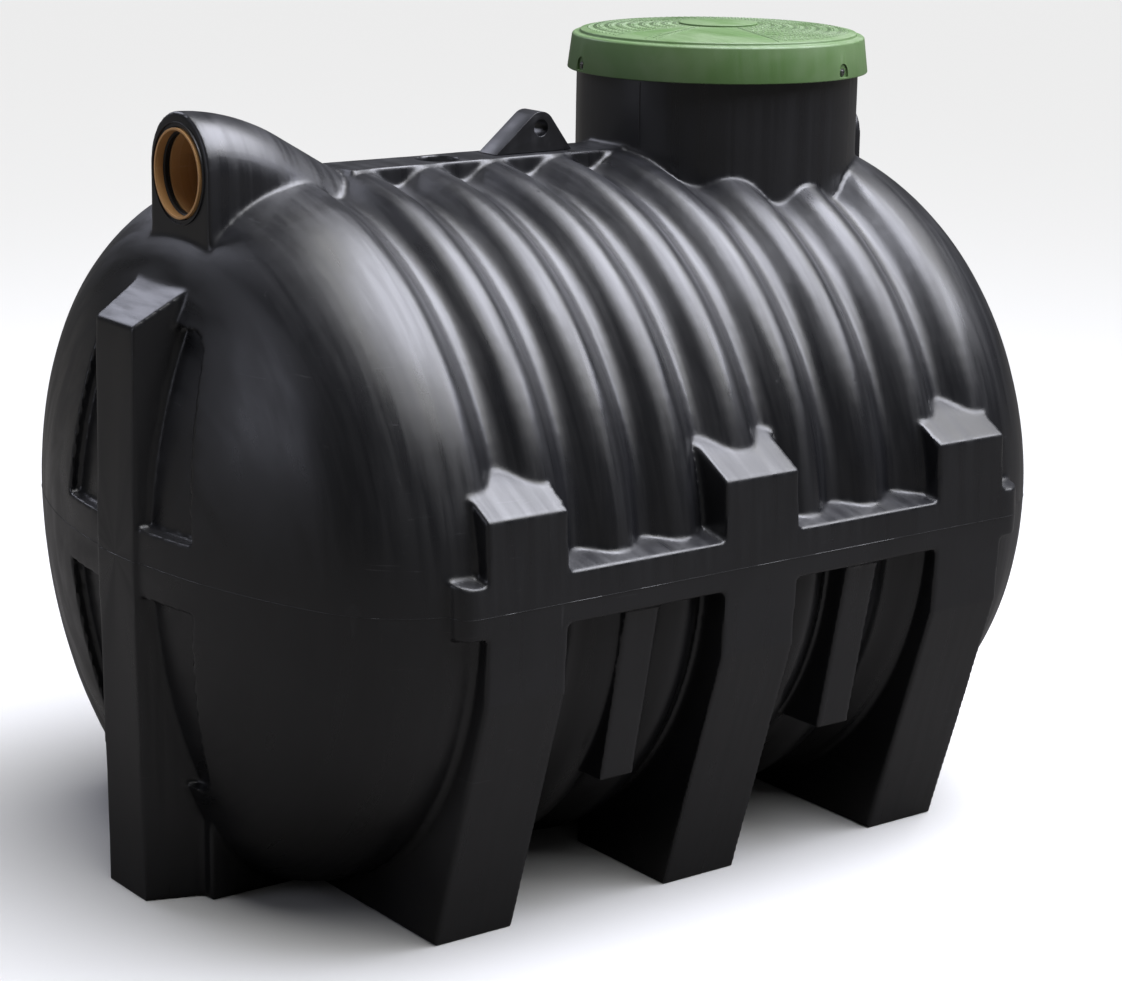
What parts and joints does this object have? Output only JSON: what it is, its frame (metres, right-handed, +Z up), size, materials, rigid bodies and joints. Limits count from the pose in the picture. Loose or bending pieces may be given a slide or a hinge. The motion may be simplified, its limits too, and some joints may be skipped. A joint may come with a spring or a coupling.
{
  "type": "septic tank",
  "caption": "Black ribbed horizontal plastic septic tank with domed ends, moulded legs, an inlet hood, a lifting lug and a manhole neck with a green lift-off lid.",
  "frame": {"origin": "on the floor under the middle of the tank, halfway between the two end legs and between the side legs", "axes": "+X runs along the barrel from the inlet end to the outlet end, +Z points up, +Y is to the left seen from the inlet end"},
  "size_m": [2.072, 1.55, 1.708],
  "materials": {
    "tank_plastic": "satin black moulded polyethylene",
    "lid_plastic": "satin green moulded polyethylene",
    "socket_plastic": "orange-brown drainage pipe plastic",
    "seal_rubber": "black rubber seal"
  },
  "bodies": {
    "tank": {"band_left": "tank_plastic", "band_right": "tank_plastic", "barrel_lower": "tank_plastic", "barrel_upper": "tank_plastic", "inlet_dome_lower": "tank_plastic", "inlet_dome_upper": "tank_plastic", "inlet_hood": "tank_plastic", "inlet_seal": "seal_rubber", "inlet_socket": "socket_plastic", "keel_inlet": "tank_plastic", "keel_outlet": "tank_plastic", "leg_inlet_end": "tank_plastic", "leg_left_inlet": "tank_plastic", "leg_left_middle": "tank_plastic", "leg_left_outlet": "tank_plastic", "leg_outlet_end": "tank_plastic", "leg_right_inlet": "tank_plastic", "leg_right_middle": "tank_plastic", "leg_right_outlet": "tank_plastic", "lifting_lug": "tank_plastic", "manhole_neck": "tank_plastic", "outlet_dome_lower": "tank_plastic", "outlet_dome_upper": "tank_plastic", "outlet_hood": "tank_plastic", "outlet_seal": "seal_rubber", "outlet_socket": "socket_plastic", "pilaster_left_inlet": "tank_plastic", "pilaster_left_outlet": "tank_plastic", "pilaster_right_inlet": "tank_plastic", "pilaster_right_outlet": "tank_plastic", "post_inlet_end": "tank_plastic", "post_left_inlet": "tank_plastic", "post_left_middle": "tank_plastic", "post_left_outlet": "tank_plastic", "post_outlet_end": "tank_plastic", "post_right_inlet": "tank_plastic", "post_right_middle": "tank_plastic", "post_right_outlet": "tank_plastic", "spine": "tank_plastic"},
    "lid": {"lid_hub": "lid_plastic", "manhole_lid": "lid_plastic"}
  },
  "joints": [
    {"name": "lid_lift", "type": "slide", "parent": "tank", "child": "lid", "axis": [0, 0, 1], "range_m": [0, 0.3]}
  ]
}
